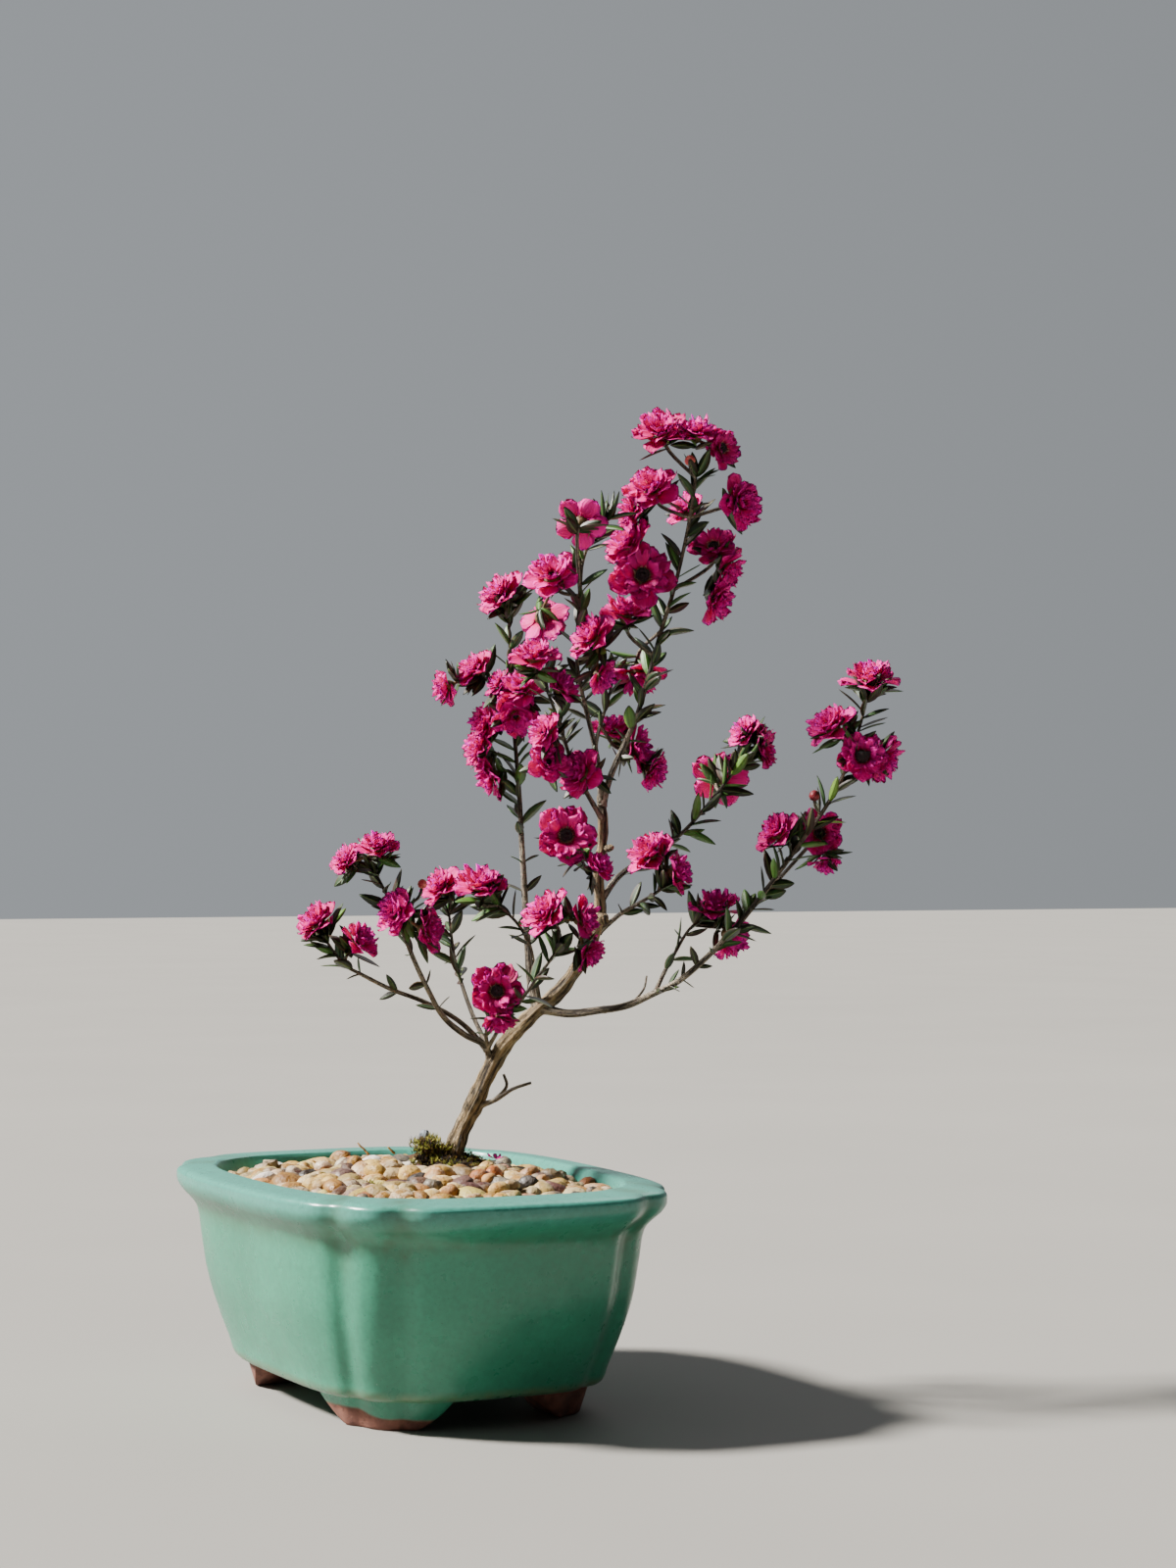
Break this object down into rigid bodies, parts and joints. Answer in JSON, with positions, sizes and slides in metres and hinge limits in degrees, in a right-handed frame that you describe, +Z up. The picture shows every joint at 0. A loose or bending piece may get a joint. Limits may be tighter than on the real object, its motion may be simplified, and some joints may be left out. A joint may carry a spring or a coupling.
{
  "type": "flowering bonsai in a pot",
  "caption": "Burgundy queen tea tree trained as a leaning bonsai, with double magenta blooms and narrow leaves, in a jade glazed clay pot topped with gravel.",
  "frame": {"origin": "on the ground under the middle of the whole plant and pot", "axes": "+Z up, the short side of the pot along X with the plant leaning to +X, the long side of the pot along Y"},
  "size_m": [0.1642, 0.1594, 0.2647],
  "materials": {
    "glaze": "satin",
    "soil": "matte",
    "gravel": "matte",
    "moss": "matte",
    "chip": "matte",
    "bark": "matte",
    "petal": "satin",
    "leaf": "satin"
  },
  "bodies": {
    "root": {"pot": "glaze", "soil": "soil", "gravel": "gravel", "moss": "moss", "bark_chip": "chip", "wood_chip": "chip", "fallen_petal": "petal", "trunk": "bark", "bloom_left_top": "petal", "bloom_left_mid": "petal", "bloom_far_left": "petal", "bloom_left_low": "petal", "bloom_left_inner": "petal", "bloom_left_crown": "petal", "bloom_low_front": "petal", "bloom_centre_front": "petal", "bloom_centre": "petal", "bloom_tall_low": "petal", "bloom_tall_high": "petal", "bloom_tall_out": "petal", "bloom_tall_top": "petal", "bloom_inner_top": "petal", "bloom_inner_low": "petal", "bloom_heart": "petal", "bloom_back_low": "petal", "bloom_fork_mid": "petal", "bloom_fork_low": "petal", "bloom_fork_top": "petal", "bloom_leader_low": "petal", "bloom_leader_left": "petal", "bloom_leader_front": "petal", "bloom_leader_upper": "petal", "bloom_crown": "petal", "bloom_leader_right": "petal", "bloom_right_trio": "petal", "bloom_long_tip": "petal", "bloom_long_left": "petal", "bloom_long_right": "petal", "bloom_long_mid": "petal", "bloom_long_dark": "petal", "bloom_low_right": "petal", "bloom_mid_out": "petal", "bloom_mid_back": "petal", "bloom_mid_low": "petal", "shoot_leader": "leaf", "shoot_left_fork": "leaf", "shoot_back_fork": "leaf", "shoot_inner": "leaf", "shoot_tall_left": "leaf", "shoot_second_left": "leaf", "shoot_left_front": "leaf", "shoot_left_outer": "leaf", "shoot_left_back": "leaf", "shoot_low_front": "leaf", "shoot_centre_front": "leaf", "shoot_centre": "leaf", "shoot_right_long": "leaf", "shoot_right_low": "leaf", "shoot_mid_low_right": "leaf", "shoot_mid_right": "leaf"}
  },
  "joints": []
}
